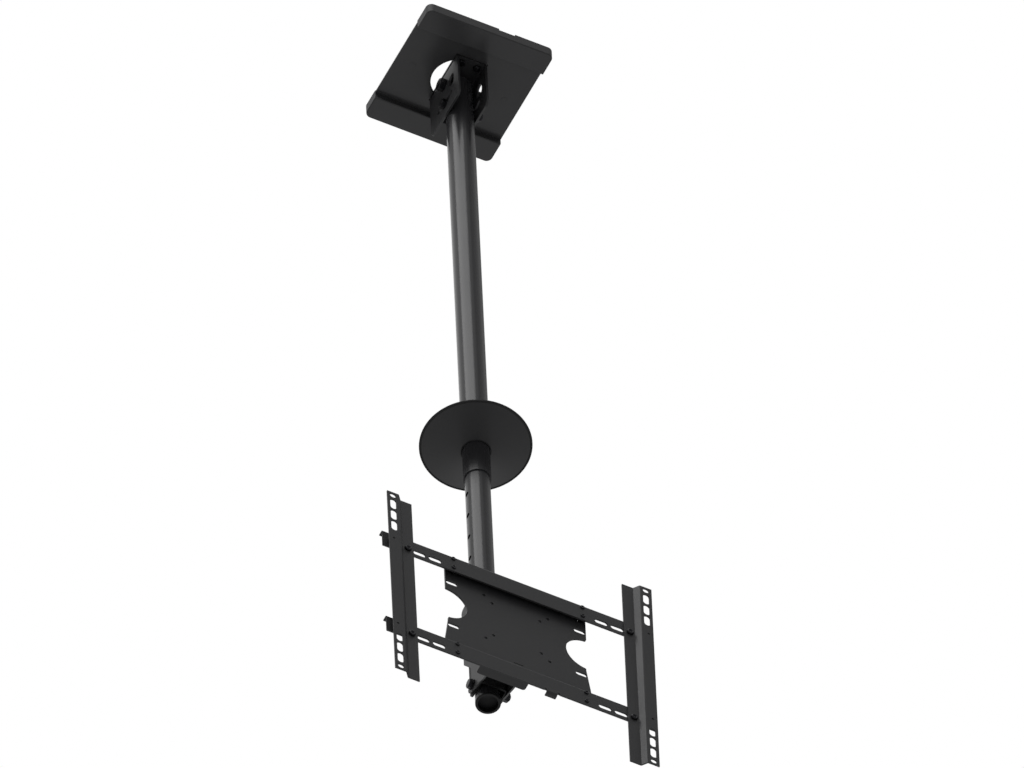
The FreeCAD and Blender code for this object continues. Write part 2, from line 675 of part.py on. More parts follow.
def with_tongue(strip):
    """Lower rail with a tongue that hooks back under its edge and holds a cable."""
    edge = BOTTOM_SLOT_Z - RAIL_SLOT_UP
    low = edge - TONGUE_DROP
    start = TONGUE_X - TONGUE_LONG / 2
    for x in (start - RELIEF_WIDE, start + TONGUE_LONG):
        centre = Vec(x + RELIEF_WIDE / 2, RAIL_FRONT_Y, edge)
        strip = strip.cut(obround(2 * RELIEF_DEEP, RELIEF_WIDE, centre, Z, Y))
    outline = [Vec(start, RAIL_FRONT_Y, edge), Vec(start, RAIL_FRONT_Y, low),
               Vec(start, RAIL_FRONT_Y + TONGUE_BACK, low)]
    tongue = folded(outline, X * TONGUE_LONG, RAIL_THICK, RAIL_BEND)
    return strip.fuse(tongue).removeSplitter()


def rail_bolts():
    """Bolts from the rail's front through spacer and plate."""
    bolts = []
    grip = SCREEN_BACK_Y - RAIL_FRONT_Y
    for slot_z in (TOP_SLOT_Z, BOTTOM_SLOT_Z):
        for x, z, size in rail_fixings(slot_z):
            bolts.append(bolt(size, Vec(x, RAIL_FRONT_Y, z), Y, grip + size.nut + BOLT_END))
    return bolts


def rail_spacers():
    spacers = []
    for slot_z in (TOP_SLOT_Z, BOTTOM_SLOT_Z):
        for x, z, size in rail_fixings(slot_z):
            bore = size.shank / 2 + THREAD_GAP
            back = Vec(x, SCREEN_FRONT_Y, z)
            spacers.append(tube(bore + SPACER_WALL, bore, Vec(x, RAIL_BACK_Y, z), back))
    return spacers


def rail_nuts():
    nuts = []
    for slot_z in (TOP_SLOT_Z, BOTTOM_SLOT_Z):
        for x, z, size in rail_fixings(slot_z):
            nuts.append(nut(size, Vec(x, SCREEN_BACK_Y, z), Y))
    return nuts


def rail_caps():
    """Moulded caps over the four cut ends of the rails."""
    caps = []
    for slot_z in (TOP_SLOT_Z, BOTTOM_SLOT_Z):
        low = slot_z - RAIL_SLOT_UP - CAP_OVER
        high = low + RAIL_HEIGHT + 2 * CAP_OVER
        for side in (-1, 1):
            inner = side * RAIL_LENGTH / 2
            x = sorted((inner, inner + side * CAP_THICK))
            cap = block(x, (RAIL_FRONT_Y, SCREEN_FRONT_Y + CAP_OVER), (low, high))
            cap = rounded(cap, CAP_ROUND, X, lambda p: True)
            caps.append(cap)
    return caps


# Arms

def arm(side):
    """Upright Z-section: a flange screwed to the rails and one standing forward for the screen."""
    low = ARM_MID_Z - ARM_HEIGHT / 2
    front = RAIL_FRONT_Y - ARM_THICK
    outline = [Vec(ARM_OUTER, front - ARM_FORWARD, low), Vec(ARM_OUTER_FOLD, front - ARM_FORWARD, low),
               Vec(ARM_INNER_FOLD, front, low), Vec(ARM_INNER, front, low)]
    sheet = folded(outline[::-1], Z * ARM_HEIGHT, ARM_THICK, ARM_BEND)
    for hole in ARM_HOLES:
        place = Vec(ARM_HOLE_X, front - ARM_FORWARD, ARM_MID_Z + hole.up)
        if hole.tall > ARM_HOLE_WIDE:
            cutter = obround(hole.tall, ARM_HOLE_WIDE, place, Z, Y)
        else:
            cutter = obround(ARM_HOLE_WIDE, hole.tall, place, X, Y)
        sheet = sheet.cut(cutter)
    for z in (TOP_SLOT_Z, BOTTOM_SLOT_Z):
        sheet = drilled(sheet, M5.shank / 2 + THREAD_GAP, ARM_SCREW_X, z)
        sheet = drilled(sheet, ARM_PIN_D / 2, ARM_PIN_X, z)
    return sheet if side > 0 else sheet.mirror(Vec(0, 0, 0), X)


def arm_screws(side):
    front = RAIL_FRONT_Y - ARM_THICK
    grip = RAIL_BACK_Y + M5.washer + FACE_GAP - front
    length = grip + M5.nut + BOLT_END
    return [bolt(M5, Vec(side * ARM_SCREW_X, front, z), Y, length) for z in (TOP_SLOT_Z, BOTTOM_SLOT_Z)]


def arm_nuts(side):
    """Washer and nut behind the rail, at each arm screw."""
    seat = RAIL_BACK_Y + FACE_GAP
    pieces = []
    for z in (TOP_SLOT_Z, BOTTOM_SLOT_Z):
        pieces.append(washer(M5, Vec(side * ARM_SCREW_X, seat, z), Y))
        pieces.append(nut(M5, Vec(side * ARM_SCREW_X, seat + M5.washer, z), Y))
    return pieces


def model():
    """All the pieces by name; a list is a set of equal fasteners in one file."""
    nodes = {
        "ceiling_plate": ceiling_plate(),
        "ceiling_bracket": ceiling_bracket(),
        "bracket_screws": bracket_screws(),
        "ceiling_cover": ceiling_cover(),
        "cover_screws": cover_screws(),
        "upper_tube": upper_tube(),
        "height_collar": height_collar(),
        "height_screws": height_screws(),
        "trim_disc": trim_disc(),
        "trim_grommet": trim_grommet(),
        "lower_tube": lower_tube(),
        "tube_end_plug": tube_end_plug(),
        "pole_clamp": pole_clamp(),
        "tilt_bracket": tilt_bracket(),
        "centre_plate": centre_plate(),
        "top_rail": rail(TOP_SLOT_Z),
        "bottom_rail": with_tongue(rail(BOTTOM_SLOT_Z)),
        "rail_bolts": rail_bolts(),
        "rail_spacers": rail_spacers(),
        "rail_nuts": rail_nuts(),
        "rail_caps": rail_caps(),
    }
    sets = (("ceiling_pivot", M10, CEILING_PIVOT_Z, CHEEK_OUT + FACE_GAP),
            ("slope_lock", M8, SLOPE_LOCK_Z, CHEEK_OUT + FACE_GAP),
            ("tilt_pivot", M8, PIVOT_Z, EAR_OUT + FACE_GAP),
            ("tilt_lock", M8, LOCK_Z, EAR_OUT + FACE_GAP))
    for name, size, z, grip in sets:
        nodes[name + "_bolt"], nodes[name + "_washers"], nodes[name + "_nut"] = cross_bolt(size, z, grip)
    for name, side in (("left", -1), ("right", 1)):
        nodes[name + "_arm"] = arm(side)
        nodes[name + "_arm_screws"] = arm_screws(side)
        nodes[name + "_arm_nuts"] = arm_nuts(side)
    return nodes


def main():
    os.makedirs("parts", exist_ok=True)
    for name, shape in model().items():
        if isinstance(shape, list):
            shape = Part.makeCompound(shape)
        shape.exportStep("parts/" + name + ".step")


main()
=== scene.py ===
"""Looks of a black ceiling mount for a flat screen.

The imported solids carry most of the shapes. This script gives every one of
them its finish. It makes the forms that the photograph shows more closely than
the solids: the plate's lower edge and slots, the folded rails with their thin
ends, the arms' taller holes, the screws, the wider ceiling cover and the dished
trim disc. It adds the plate's inserts, the weld beads and the bolts' threads,
and sets a plain studio round the mount.

Lengths named here are in millimetres and are turned to metres by MM, apart
from the studio's, which are in metres.
"""
import math

import bmesh
import bpy
import numpy as np
from mathutils import Matrix, Vector

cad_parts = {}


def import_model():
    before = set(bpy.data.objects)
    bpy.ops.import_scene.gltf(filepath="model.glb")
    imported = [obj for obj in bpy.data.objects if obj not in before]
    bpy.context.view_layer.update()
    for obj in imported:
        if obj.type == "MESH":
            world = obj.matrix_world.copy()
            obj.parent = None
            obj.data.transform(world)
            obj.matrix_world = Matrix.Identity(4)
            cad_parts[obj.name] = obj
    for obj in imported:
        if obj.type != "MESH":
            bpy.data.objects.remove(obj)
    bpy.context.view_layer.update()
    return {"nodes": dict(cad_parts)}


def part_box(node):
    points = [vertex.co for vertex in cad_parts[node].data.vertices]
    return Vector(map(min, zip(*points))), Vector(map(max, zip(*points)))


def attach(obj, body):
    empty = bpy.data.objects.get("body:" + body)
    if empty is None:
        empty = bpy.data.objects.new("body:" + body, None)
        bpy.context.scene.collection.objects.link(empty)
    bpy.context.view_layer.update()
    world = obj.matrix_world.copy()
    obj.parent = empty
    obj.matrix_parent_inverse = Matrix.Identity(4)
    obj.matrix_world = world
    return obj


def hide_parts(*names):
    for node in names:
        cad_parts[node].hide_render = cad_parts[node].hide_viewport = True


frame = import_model()
NODES = frame["nodes"]
MM = 0.001

# Steps round curves
RING_SIDES = 128        # round the pole
ROUND_SIDES = 24        # round a screw, a sleeve or an insert
HEX_SIDES = 6
SLOT_ARC = 17           # half circle at a slot's end
FOLD_ARC = 9            # quarter circle of a fold
CROWN_ARC = 7           # quarter circle of a screw head or a ring's foot
RIM_ARC = 5             # quarter circle of a small rim

# Threads on the ends of the bolts
THREAD_TURN = 64
THREAD_STEPS = 12       # grid steps in one pitch
THREAD_PITCH = {8.0: 1.25, 10.0: 1.5}
THREAD_END = 1.5        # length of bolt past its nut
THREAD_DEPTH = 0.6      # share of the pitch
THREAD_PROUD = 0.03     # crest over the plain shank

# Weld beads
WELD_LEG = 2.6
WELD_RIPPLE = 1.6       # distance between two ripples
WELD_DEPTH = 0.22
WELD_SIDES = 12
WELD_STEPS = 6          # grid steps in one ripple
MERGE = 1e-6            # points nearer than this, in metres, are one

# Tilting head's welded bracket
EAR_SIDE_GAP = 0.3
EAR_THICK = 2.5
BRACKET_THICK = 3.0
SHELF_DEPTH = 53.0
BASE_HEIGHT = 154.0
WELD_START = 6.0        # plain length before a bead starts

# Plate, rails and arms, as the photograph shows their openings
RAIL_FRONT_Y = -105.05  # a hair behind the arms, which slide on it
RAIL_SHEET = 2.5
RAIL_BEND_R = 4.0       # outside of a rail's fold
RAIL_HALF = 211.0
RAIL_FACE = 34.5        # height of a rail's face
RAIL_TO_SLOT = 10.0     # rail's lower edge to its slot line
SLOT_LINES = (-1327.1, -1527.1)
RAIL_SLOTS_X = (130.0, 155.0, 180.0)
RAIL_SLOT = (20.5, 9.0)
PLATE_SLOT = (18.5, 8.6)
PLATE_SLOTS_X = 100.0
PLATE_SLOTS_Z = 50.0
PLATE_MID_Z = -1403.0
PLATE_FOOT_Z = -1520.5  # the lower rail hides the plate's lower edge
PLATE_FRONT_Y = -95.1
ARM_HOLES_X = 198.0
# Height above the middle, width and height of each hole in an arm's ends
ARM_HOLES_UP = ((200.0, 9.6, 8.5), (180.0, 9.6, 22.0), (155.0, 9.6, 22.0), (130.0, 9.6, 22.0),
                (-132.5, 9.6, 17.5), (-155.0, 9.6, 22.0), (-180.0, 9.6, 22.0), (-200.0, 9.6, 8.5))
CUT_DEPTH = 30.0        # how far the cutting tools reach either side of the plate's front
PAST_EDGE = 1.0         # how far a cut runs past an edge
TONGUE_X = (38.5, 55.0)
TONGUE_FOOT = 4.4       # how far the cable tongue hangs below the lower rail
TONGUE_BACK = 8.0
RELIEF = (4.0, 6.0)     # notch beside the tongue's fold
RAIL_END_WALL = 1.2     # thin moulded edge on a rail's end
RAIL_SCREWS_X = 101.0
RAIL_SCREWS_UP = (-1.4, 18.2)   # above the slot line
RAIL_SCREW_HEAD = 3.4   # radius
ARM_SCREW_X = 174.0
ARM_SCREW_DROP = 1.5    # below the slot line
ARM_SCREW_HEAD = 5.4    # radius
ARM_SHEET = 2.0
HEAD_TALL = 1.8
ARM_HEAD_TALL = 3.6
HEX_SOCKET = 0.5        # socket's radius as a share of the head's
SOCKET_FLOOR = 1 / 3    # socket's floor above the seat, as a share of the head's height
SHANK_SHARE = 0.55      # shank's radius as a share of the head's
SHANK_PAST_NUT = 1.0
NUT_TALL = 3.0
NUT_SHARE = 1.25        # nut's corner against the head's radius
NUT_BEVEL_FROM = 0.85   # share of the nut's height where its bevel starts
NUT_BEVEL_IN = 0.9      # share of the corner that the bevel leaves
SLEEVE_WALL = 1.2
PLATE_SHEET = 3.0       # thickness of the screen plate
SMALL_PATTERNS = (75.0, 100.0)
INSERT_R = 2.45
INSERT_FACE = 0.5       # how far the insert's face lies back in its hole

# Ceiling cover
COVER_FIXED = 60.0      # what lies nearer to the pole than this, along Y, keeps its place
COVER_FIXED_X = 82.0    # the same along X
COVER_SIDE = 5.7        # how far each side moves out
COVER_FRONT = 6.3
COVER_BACK = 2.0
COVER_RIDGE_FROM = -12.0    # what lies below this belongs to the ridges' foot
COVER_RIDGE_UP = 1.5    # how far that foot is raised
COVER_FACE_Z = -5.4     # underside between the ridges
CAP_R = 4.6
CAP_DEEP = 1.6
CAP_EDGE = 0.4
CAP_PROUD = 0.15
CAP_X = 72.0

# Trim disc
DISC_DISH = 14.6        # how far the hole hangs below the rim
DISC_EDGE = 3.0         # width of the soft strip round the rim
DISC_EDGE_TALL = 3.6
DISC_EDGE_DROP = 0.4    # strip's middle below the disc's middle
DISC_EDGE_ROUND = 0.6   # strip's corner as a share of half its height
RING_WALL = 1.6
RING_TALL = 4.5
RING_ROUND = 1.1
RING_SLIDE = 0.05       # room between the pole and the ring
RING_JOINT = 0.02       # hair between the disc and its soft pieces
CRISP = 0.3             # length beside a corner over which shading turns

# Finishes
GLOSS_DRIFT = 0.05      # roughness drifts this far either way
DRIFT_DETAIL = 3.0
GRAIN_DETAIL = 2.0
GRAIN_STRENGTH = 0.6

# Studio: places and sizes in metres, angles in degrees
FLOOR_Z = -2.4
FLOOR_SIZE = 14.0
FLOOR_STEPS = 9
FLOOR_WHITE = 0.6       # share of plain white that the camera sees in the floor
PHOTO_WIDTH = 1024
PIXELS_PER_MM = 0.71172
LOOK = Vector((0.28474, 0.52687, 0.80083))
VIEW_ROLL = math.radians(2.742)
VIEW_CENTRE = Vector((62.6, 0.0, -678.0)) * MM
VIEW_BACK = 1.5
VIEW_END = 50.0
KEY_AZIMUTH = 217.0
KEY_ELEVATION = 53.0
KEY_DISTANCE = 6.0
KEY_SIZE = (5.2, 3.0)
KEY_RADIANCE = 3.4
BACK_PLACE = Vector((0.85, 1.59, -2.2))
BACK_SIZE = 0.5
BACK_POWER = 7.5
CARD_DISTANCE = 5.0
CARD_TOP = 9.0
CARD_STEPS = (25, 5)
CARDS = (("front_card", -75.0, 10.0, 0.5), ("side_card", 10.0, 72.0, 0.3))  # name, from, to, tone
WORLD_DIFFUSE = 0.46


# Meshes

def box_mm(node):
    """Lowest and highest corner of a node in millimetres."""
    low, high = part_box(node)
    return np.array(low) / MM, np.array(high) / MM


def outward(name, mesh):
    """Object of a mesh whose doubles are merged and whose faces are turned outwards."""
    work = bmesh.new()
    work.from_mesh(mesh)
    bmesh.ops.remove_doubles(work, verts=work.verts, dist=MERGE)
    bmesh.ops.recalc_face_normals(work, faces=work.faces)
    work.to_mesh(mesh)
    work.free()
    piece = bpy.data.objects.new(name, mesh)
    bpy.context.scene.collection.objects.link(piece)
    return piece


def mesh_of_grid(name, grid, close_rows=False, close_columns=True):
    """Piece from a grid of points: rows run along it and columns go round it.

    Each quad joins a point to the next in its row and its column. Points that
    fall together, as at a pole, are merged, and the faces are turned outwards.
    """
    rows, columns = grid.shape[:2]
    index = np.arange(rows * columns).reshape(rows, columns)
    if close_rows:
        index = np.vstack([index, index[:1]])
    if close_columns:
        index = np.hstack([index, index[:, :1]])
    quads = np.stack([index[:-1, :-1], index[:-1, 1:], index[1:, 1:], index[1:, :-1]], axis=-1)
    mesh = bpy.data.meshes.new(name)
    mesh.from_pydata(grid.reshape(-1, 3).tolist(), [], quads.reshape(-1, 4).tolist())
    piece = outward(name, mesh)
    mesh.shade_smooth()
    return piece


def joined(name, parts):
    """One piece from several that lie apart."""
    work = bmesh.new()
    for part in parts:
        work.from_mesh(part.data)
        bpy.data.objects.remove(part)
    mesh = bpy.data.meshes.new(name)
    work.to_mesh(mesh)
    work.free()
    piece = bpy.data.objects.new(name, mesh)
    bpy.context.scene.collection.objects.link(piece)
    return piece


def give(piece, body, material):
    """Finish of a piece, the body it rides and the slot its material stands for."""
    piece.data.materials.clear()
    piece.data.materials.append(material)
    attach(piece, body)


def turned(name, profile, centre):
    """Ring about a line along Z: each profile point (radius, height) goes round in a circle."""
    turn = np.linspace(0, 2 * np.pi, RING_SIDES, endpoint=False)
    radius = profile[:, 0][:, None]
    grid = np.stack([centre[0] + radius * np.cos(turn), centre[1] + radius * np.sin(turn),
                     centre[2] + profile[:, 1][:, None] + 0 * turn], axis=-1)
    return mesh_of_grid(name, grid * MM, close_rows=True)


def round_y(name, profile, centre, sides=ROUND_SIDES):
    """Solid turned about a line along Y: each profile point (radius, way back) goes round."""
    turn = np.linspace(0, 2 * np.pi, sides, endpoint=False)
    radius = profile[:, 0][:, None]
    grid = np.stack([centre[0] + radius * np.cos(turn), centre[1] + profile[:, 1][:, None] + 0 * turn,
                     centre[2] + radius * np.sin(turn)], axis=-1)
    return mesh_of_grid(name, grid * MM)


def prism(name, outline, axis, start, end):
    """Closed solid: an outline in the plane square to X or Y, carried along that axis."""
    count = len(outline)
    ends = np.repeat([start, end], count)
    flat = np.tile(np.array(outline, float), (2, 1))
    columns = {"x": (ends, flat[:, 0], flat[:, 1]), "y": (flat[:, 0], ends, flat[:, 1])}[axis]
    points = np.stack(columns, axis=-1) * MM
    near = np.arange(count)
    sides = np.stack([near, np.roll(near, -1), np.roll(near, -1) + count, near + count], axis=-1)
    faces = sides.tolist() + [near.tolist(), (near + count)[::-1].tolist()]
    mesh = bpy.data.meshes.new(name)
    mesh.from_pydata(points.tolist(), [], faces)
    return outward(name, mesh)


def half_wide(node):
    """Half the width of a round node."""
    low, high = box_mm(node)
    return (high[0] - low[0]) / 2


def obround(centre, size):
    """Outline of a slot: two half circles joined by straight sides, long the way of its larger size."""
    wide, tall = size
    radius = min(size) / 2
    turn = np.linspace(-np.pi / 2, np.pi / 2, SLOT_ARC)
    half = np.stack([radius * np.cos(turn), radius * np.sin(turn)], axis=-1)
    if wide >= tall:
        half = half + [wide / 2 - radius, 0]
    else:
        half = half[:, ::-1] * [-1, 1] + [0, tall / 2 - radius]
    return np.vstack([half, -half]) + centre


def cut(piece, outlines):
    """Piece with openings of the given outlines cut through it the way of Y."""
    low, high = PLATE_FRONT_Y - CUT_DEPTH, PLATE_FRONT_Y + CUT_DEPTH
    tools = [prism("opening_%d" % i, outline, "y", low, high) for i, outline in enumerate(outlines)]
    tool = joined("openings", tools)
    change = piece.modifiers.new("openings", "BOOLEAN")
    change.operation = "DIFFERENCE"
    change.solver = "EXACT"
    change.object = tool
    bpy.context.view_layer.update()
    shaped = piece.evaluated_get(bpy.context.evaluated_depsgraph_get())
    piece.data = bpy.data.meshes.new_from_object(shaped)
    piece.modifiers.clear()
    bpy.data.objects.remove(tool)


def copied(name, node):
    """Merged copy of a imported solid, ready to be cut."""
    return outward(name, NODES[node].data.copy())


# Plate, rails and arms

def slotted_plate(material):
    """Screen plate with wider slots, and its lower edge up behind the lower rail."""
    low, high = box_mm("centre_plate")
    piece = copied("slotted_plate", "centre_plate")
    left, right = low[0] - PAST_EDGE, high[0] + PAST_EDGE
    under = low[2] - PAST_EDGE
    outlines = [[(left, under), (right, under), (right, PLATE_FOOT_Z), (left, PLATE_FOOT_Z)]]
    for x in (-PLATE_SLOTS_X, PLATE_SLOTS_X):
        for up in (-PLATE_SLOTS_Z, PLATE_SLOTS_Z):
            outlines.append(obround((x, PLATE_MID_Z + up), PLATE_SLOT))
    cut(piece, outlines)
    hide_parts("centre_plate")
    give(piece, "head", material)


def angle_profile(edge, fold):
    """Section of an angle across the rail: a face from its edge to the fold, and a flange back from it.

    The fold's outside and inside are quarter circles about one centre. An angle that folds upwards
    reaches back to the plate, and the tongue, which folds downwards, by TONGUE_BACK.
    """
    way = 1 if fold > edge else -1
    back = PLATE_FRONT_Y if way > 0 else RAIL_FRONT_Y + TONGUE_BACK
    turn = np.linspace(0, np.pi / 2, FOLD_ARC)
    inside = RAIL_BEND_R - RAIL_SHEET
    outer = np.stack([RAIL_FRONT_Y + RAIL_BEND_R * (1 - np.cos(turn)),
                      fold - way * RAIL_BEND_R * (1 - np.sin(turn))], axis=-1)
    inner = np.stack([RAIL_FRONT_Y + RAIL_SHEET + inside * (1 - np.cos(turn)),
                      fold - way * (RAIL_SHEET + inside * (1 - np.sin(turn)))], axis=-1)
    return np.vstack([[(RAIL_FRONT_Y, edge)], outer, [(back, fold)], [(back, fold - way * RAIL_SHEET)],
                      inner[::-1], [(RAIL_FRONT_Y + RAIL_SHEET, edge)]])


def slotted_rails(material):
    """Rails folded to an angle, with open slots either side of the plate, and the lower one's tongue."""
    for node, slot_z in zip(("top_rail", "bottom_rail"), SLOT_LINES):
        low = slot_z - RAIL_TO_SLOT
        piece = prism("slotted_" + node, angle_profile(low, low + RAIL_FACE), "x", -RAIL_HALF, RAIL_HALF)
        outlines = [obround((side * x, slot_z), RAIL_SLOT) for side in (-1, 1) for x in RAIL_SLOTS_X]
        if node == "bottom_rail":
            edges = (TONGUE_X[0] - RELIEF[0] / 2, TONGUE_X[1] + RELIEF[0] / 2)
            outlines += [obround((x, low), RELIEF) for x in edges]
        cut(piece, outlines)
        if node == "bottom_rail":
            tongue = prism("rail_tongue", angle_profile(low, low - TONGUE_FOOT), "x", *TONGUE_X)
            piece = joined("slotted_" + node, [piece, tongue])
        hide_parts(node)
        give(piece, "head", material)


def rail_ends(material):
    """Thin moulded edges on the rails' cut ends, the shape of the rail's own section."""
    ends = []
    for slot_z in SLOT_LINES:
        low = slot_z - RAIL_TO_SLOT
        for side in (-1, 1):
            start = side * RAIL_HALF
            ends.append(prism("rail_end_%d" % len(ends), angle_profile(low, low + RAIL_FACE), "x",
                              start, start + side * RAIL_END_WALL))
    piece = joined("rail_ends", ends)
    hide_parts("rail_caps")
    give(piece, "head", material)


def socket_screw(name, centre, head, tall, length):
    """Round head with a socket, on a plain shank that runs back from its seat."""
    shank = head * SHANK_SHARE
    socket = head * HEX_SOCKET
    floor_y = -tall * SOCKET_FLOOR
    arc = np.linspace(0, np.pi / 2, CROWN_ARC)
    crown = np.stack([head - tall / 2 + tall / 2 * np.sin(arc), -tall + tall / 2 * (1 - np.cos(arc))],
                     axis=-1)
    profile = np.vstack([[(0, floor_y)], [(socket, floor_y)], [(socket, -tall)], crown,
                         [(head, 0)], [(shank, 0)], [(shank, length)], [(0, length)]])
    return round_y(name, profile, centre)


def hex_nut(name, centre, corner, back):
    """Six-sided nut with a bevelled back, whose seat is at the centre and which stands back from it."""
    bore = corner / NUT_SHARE * SHANK_SHARE
    profile = np.array([(bore, 0), (corner, 0), (corner, back * NUT_BEVEL_FROM),
                        (corner * NUT_BEVEL_IN, back), (bore, back), (bore, 0)])
    return round_y(name, profile, centre, HEX_SIDES)


def rail_screws(material):
    """Screws that hold the rails, in pairs, each with its nut.

    They run through a sleeve to the plate's back. The lowest pair, which lies below the plate,
    goes through the rail alone and has no sleeve.
    """
    screws, nuts, sleeves = [], [], []
    bore = RAIL_SCREW_HEAD * SHANK_SHARE
    wall = bore + SLEEVE_WALL
    rail_back = RAIL_FRONT_Y + RAIL_SHEET
    gap = PLATE_FRONT_Y - RAIL_FRONT_Y - RAIL_SHEET
    sleeve = np.array([(bore, 0.0), (wall, 0.0), (wall, gap), (bore, gap), (bore, 0.0)])
    for slot_z in SLOT_LINES:
        for x in (-RAIL_SCREWS_X, RAIL_SCREWS_X):
            for up in RAIL_SCREWS_UP:
                z = slot_z + up
                in_plate = z - RAIL_SCREW_HEAD > PLATE_FOOT_Z
                seat = PLATE_FRONT_Y + PLATE_SHEET if in_plate else rail_back
                length = seat + NUT_TALL + SHANK_PAST_NUT - RAIL_FRONT_Y
                tag = "_%d" % len(screws)
                screws.append(socket_screw("screw" + tag, (x, RAIL_FRONT_Y, z), RAIL_SCREW_HEAD, HEAD_TALL,
                                           length))
                nuts.append(hex_nut("nut" + tag, (x, seat, z), RAIL_SCREW_HEAD * NUT_SHARE, NUT_TALL))
                if in_plate:
                    sleeves.append(round_y("sleeve" + tag, sleeve, (x, rail_back, z)))
    for pieces, name, node in ((screws, "rail_screw_set", "rail_bolts"), (nuts, "rail_nut_set", "rail_nuts"),
                               (sleeves, "rail_sleeve_set", "rail_spacers")):
        piece = joined(name, pieces)
        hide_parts(node)
        give(piece, "head", material)


def arm_screw_sets(material):
    """Wide low screws that hold the arms to the rails."""
    front = RAIL_FRONT_Y - ARM_SHEET
    length = ARM_SHEET + RAIL_SHEET + NUT_TALL
    for side, body in ((-1, "left_arm"), (1, "right_arm")):
        screws = []
        for slot_z in SLOT_LINES:
            place = (side * ARM_SCREW_X, front, slot_z - ARM_SCREW_DROP)
            screws.append(socket_screw("arm_screw_%d" % len(screws), place, ARM_SCREW_HEAD, ARM_HEAD_TALL,
                                       length))
        piece = joined(body + "_screw_set", screws)
        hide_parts(body + "_screws")
        give(piece, body, material)


def pattern_inserts(material):
    """Dark round inserts, a little below the plate's face, in its small holes."""
    profile = np.array([(0, INSERT_FACE), (INSERT_R, INSERT_FACE), (INSERT_R, PLATE_SHEET), (0, PLATE_SHEET)])
    inserts = []
    for pitch in SMALL_PATTERNS:
        for x in (-pitch / 2, pitch / 2):
            for up in (-pitch / 2, pitch / 2):
                place = (x, PLATE_FRONT_Y, PLATE_MID_Z + up)
                inserts.append(round_y("insert_%d" % len(inserts), profile, place))
    give(joined("pattern_inserts", inserts), "head", material)


def wide_cover(material):
    """Ceiling cover with its sides, front and back further out and its ridges a little shallower.

    Points past a limit on either side of the pole move out together, and the ridges' feet move up.
    """
    piece = copied("wide_cover", "ceiling_cover")
    points = np.empty(len(piece.data.vertices) * 3)
    piece.data.vertices.foreach_get("co", points)
    points = points.reshape(-1, 3) / MM
    x, y, z = points.T
    points[:, 0] += np.sign(x) * COVER_SIDE * (np.abs(x) > COVER_FIXED_X)
    points[:, 1] += COVER_BACK * (y > COVER_FIXED) - COVER_FRONT * (y < -COVER_FIXED)
    points[:, 2] += COVER_RIDGE_UP * (z < COVER_RIDGE_FROM)
    piece.data.vertices.foreach_set("co", (points * MM).ravel())
    piece.data.update()
    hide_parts("ceiling_cover")
    give(piece, "ceiling", material)


def screw_caps(material):
    """Flush caps over the cover's two screws, in the cover's own plastic."""
    arc = np.linspace(0, np.pi / 2, RIM_ARC)
    rim = np.stack([CAP_R - CAP_EDGE + CAP_EDGE * np.cos(arc), -CAP_PROUD * np.sin(arc)], axis=-1)
    profile = np.vstack([[(0, CAP_DEEP)], [(CAP_R, CAP_DEEP)], rim, [(0, -CAP_PROUD)]])
    caps = [turned("cap_%d" % i, profile, (x, 0.0, COVER_FACE_Z)) for i, x in enumerate((-CAP_X, CAP_X))]
    piece = joined("screw_caps", caps)
    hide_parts("cover_screws")
    give(piece, "ceiling", material)


def open_arms(material):
    """Arms with taller holes in both ends of the outer flange."""
    middle = SLOT_LINES[0] / 2 + SLOT_LINES[1] / 2
    for side, node in ((-1, "left_arm"), (1, "right_arm")):
        piece = copied("open_" + node, node)
        cut(piece, [obround((side * ARM_HOLES_X, middle + up), (wide, tall))
                    for up, wide, tall in ARM_HOLES_UP])
        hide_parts(node)
        give(piece, node, material)


# Weld beads

def bead(name, centre, side_a, side_b, length):
    """Weld bead along a line: a round of radius leg, which swells and shrinks once in each ripple.

    The centre line and two unit vectors square to it are arrays, one row for each step along the
    length, and the radius falls to nothing at both ends.
    """
    along = np.linspace(0, length, len(centre))
    radius = WELD_LEG / 2 + WELD_DEPTH * np.abs(np.sin(np.pi * along / WELD_RIPPLE)) - WELD_DEPTH
    ends = np.minimum(along, length - along) / WELD_LEG
    radius = radius * np.sqrt(np.clip(ends, 0, 1))
    turn = np.linspace(0, 2 * np.pi, WELD_SIDES, endpoint=False)
    around = side_a[:, None, :] * np.cos(turn)[:, None] + side_b[:, None, :] * np.sin(turn)[:, None]
    grid = centre[:, None, :] + radius[:, None, None] * around
    return mesh_of_grid(name, grid * MM)


def straight_bead(name, start, end, side_a, side_b):
    """Weld bead along a straight line."""
    start, end = np.array(start, float), np.array(end, float)
    length = np.linalg.norm(end - start)
    steps = int(length / WELD_RIPPLE * WELD_STEPS)
    share = np.linspace(0, 1, steps)[:, None]
    ones = np.ones((steps, 1))
    return bead(name, start + (end - start) * share, ones * side_a, ones * side_b, length)


def ring_bead(name, radius, z):
    """Weld bead round the pole."""
    length = 2 * np.pi * radius
    steps = int(length / WELD_RIPPLE * WELD_STEPS)
    turn = np.linspace(0, 2 * np.pi, steps)
    out = np.stack([np.cos(turn), np.sin(turn), 0 * turn], axis=1)
    up = np.tile([0.0, 0.0, 1.0], (steps, 1))
    return bead(name, out * radius + up * z, out, up, length)


def collar_weld(material):
    """Bead round the pole on top of the height collar."""
    top = box_mm("height_collar")[1][2]
    piece = ring_bead("collar_weld", half_wide("upper_tube"), top)
    give(piece, "upper_pole", material)


